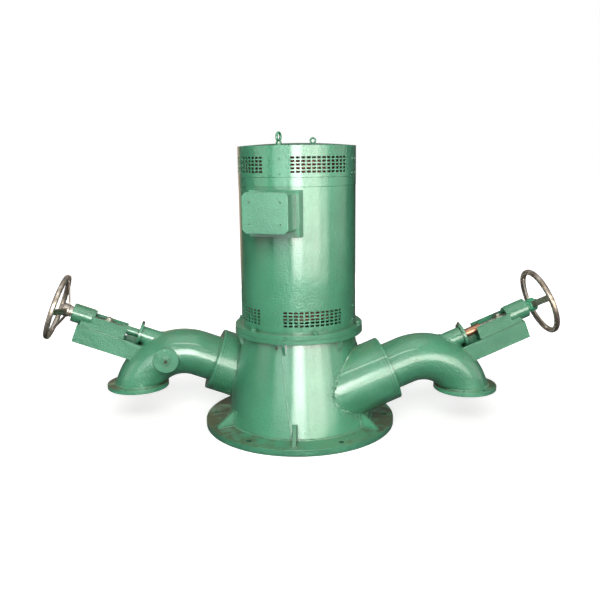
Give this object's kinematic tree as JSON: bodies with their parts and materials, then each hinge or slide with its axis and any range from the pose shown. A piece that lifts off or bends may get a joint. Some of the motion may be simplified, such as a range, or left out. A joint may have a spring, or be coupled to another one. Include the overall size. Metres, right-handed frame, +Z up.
{
  "type": "hydroelectric generator",
  "caption": "Vertical inclined-jet water turbine and generator set: conical casing on a sole flange, needle nozzles with elbows and handwheels on opposite sides.",
  "frame": {"origin": "centre of the base flange's underside, on the generator's vertical axis", "axes": "+Z up, X along the two nozzle arms, the right arm at +X and on the -Y side of the axis"},
  "size_m": [2.3948, 0.902, 1.3626],
  "materials": {
    "paint": "gloss",
    "winding": "satin",
    "steel": "satin",
    "rod": "satin",
    "bronze": "satin",
    "wheel": "satin"
  },
  "bodies": {
    "set": {"base_flange": "paint", "right_casing": "paint", "left_casing": "paint", "casing_top_flange": "paint", "base_gussets": "paint", "top_gussets": "paint", "generator_foot": "paint", "lower_vent_band": "paint", "generator_frame": "paint", "frame_ring": "paint", "upper_vent_band": "paint", "top_cover": "paint", "lifting_eyes": "paint", "lower_winding": "winding", "upper_winding": "winding", "main_shaft": "steel", "runner": "steel", "terminal_saddle": "paint", "terminal_body": "paint", "terminal_lid": "paint", "right_nozzle_stub": "paint", "right_joint_flange": "paint", "right_nozzle": "steel", "right_neck_pipe": "paint", "right_upper_elbow": "paint", "right_lower_elbow": "paint", "right_inlet_flange": "paint", "right_cover_neck": "paint", "right_cover": "paint", "right_stem_tube": "paint", "right_gland": "paint", "right_gland_bush": "bronze", "right_trough": "paint", "right_bracket": "paint", "right_boss": "paint", "left_nozzle_stub": "paint", "left_joint_flange": "paint", "left_nozzle": "steel", "left_neck_pipe": "paint", "left_upper_elbow": "paint", "left_lower_elbow": "paint", "left_inlet_flange": "paint", "left_cover_neck": "paint", "left_cover": "paint", "left_stem_tube": "paint", "left_gland": "paint", "left_gland_bush": "paint", "left_trough": "paint", "left_bracket": "paint", "left_boss": "paint"},
    "right_rod": {"right_needle_rod": "rod"},
    "right_wheel": {"right_handwheel": "wheel"},
    "left_rod": {"left_needle_rod": "rod"},
    "left_wheel": {"left_handwheel": "wheel"}
  },
  "joints": [
    {"name": "right_wheel_turn", "type": "hinge", "parent": "set", "child": "right_wheel", "pos_m": [1.08673, -0.141, 0.55507], "axis": [0.9304, 0, 0.3665], "range_deg": [-2100, 360]},
    {"name": "right_needle_slide", "type": "slide", "parent": "set", "child": "right_rod", "axis": [0.9304, 0, 0.3665], "range_m": [-0.0701, 0.0121]},
    {"name": "left_wheel_turn", "type": "hinge", "parent": "set", "child": "left_wheel", "pos_m": [-1.08673, 0.141, 0.55507], "axis": [-0.9304, 0, 0.3665], "range_deg": [-1260, 1200]},
    {"name": "left_needle_slide", "type": "slide", "parent": "set", "child": "left_rod", "axis": [-0.9304, 0, 0.3665], "range_m": [-0.0421, 0.0401]}
  ],
  "couplings": [
    {"joint": "right_needle_slide", "follows": "right_wheel_turn", "m_per_rad": 0.0019099},
    {"joint": "left_needle_slide", "follows": "left_wheel_turn", "m_per_rad": 0.0019099}
  ]
}
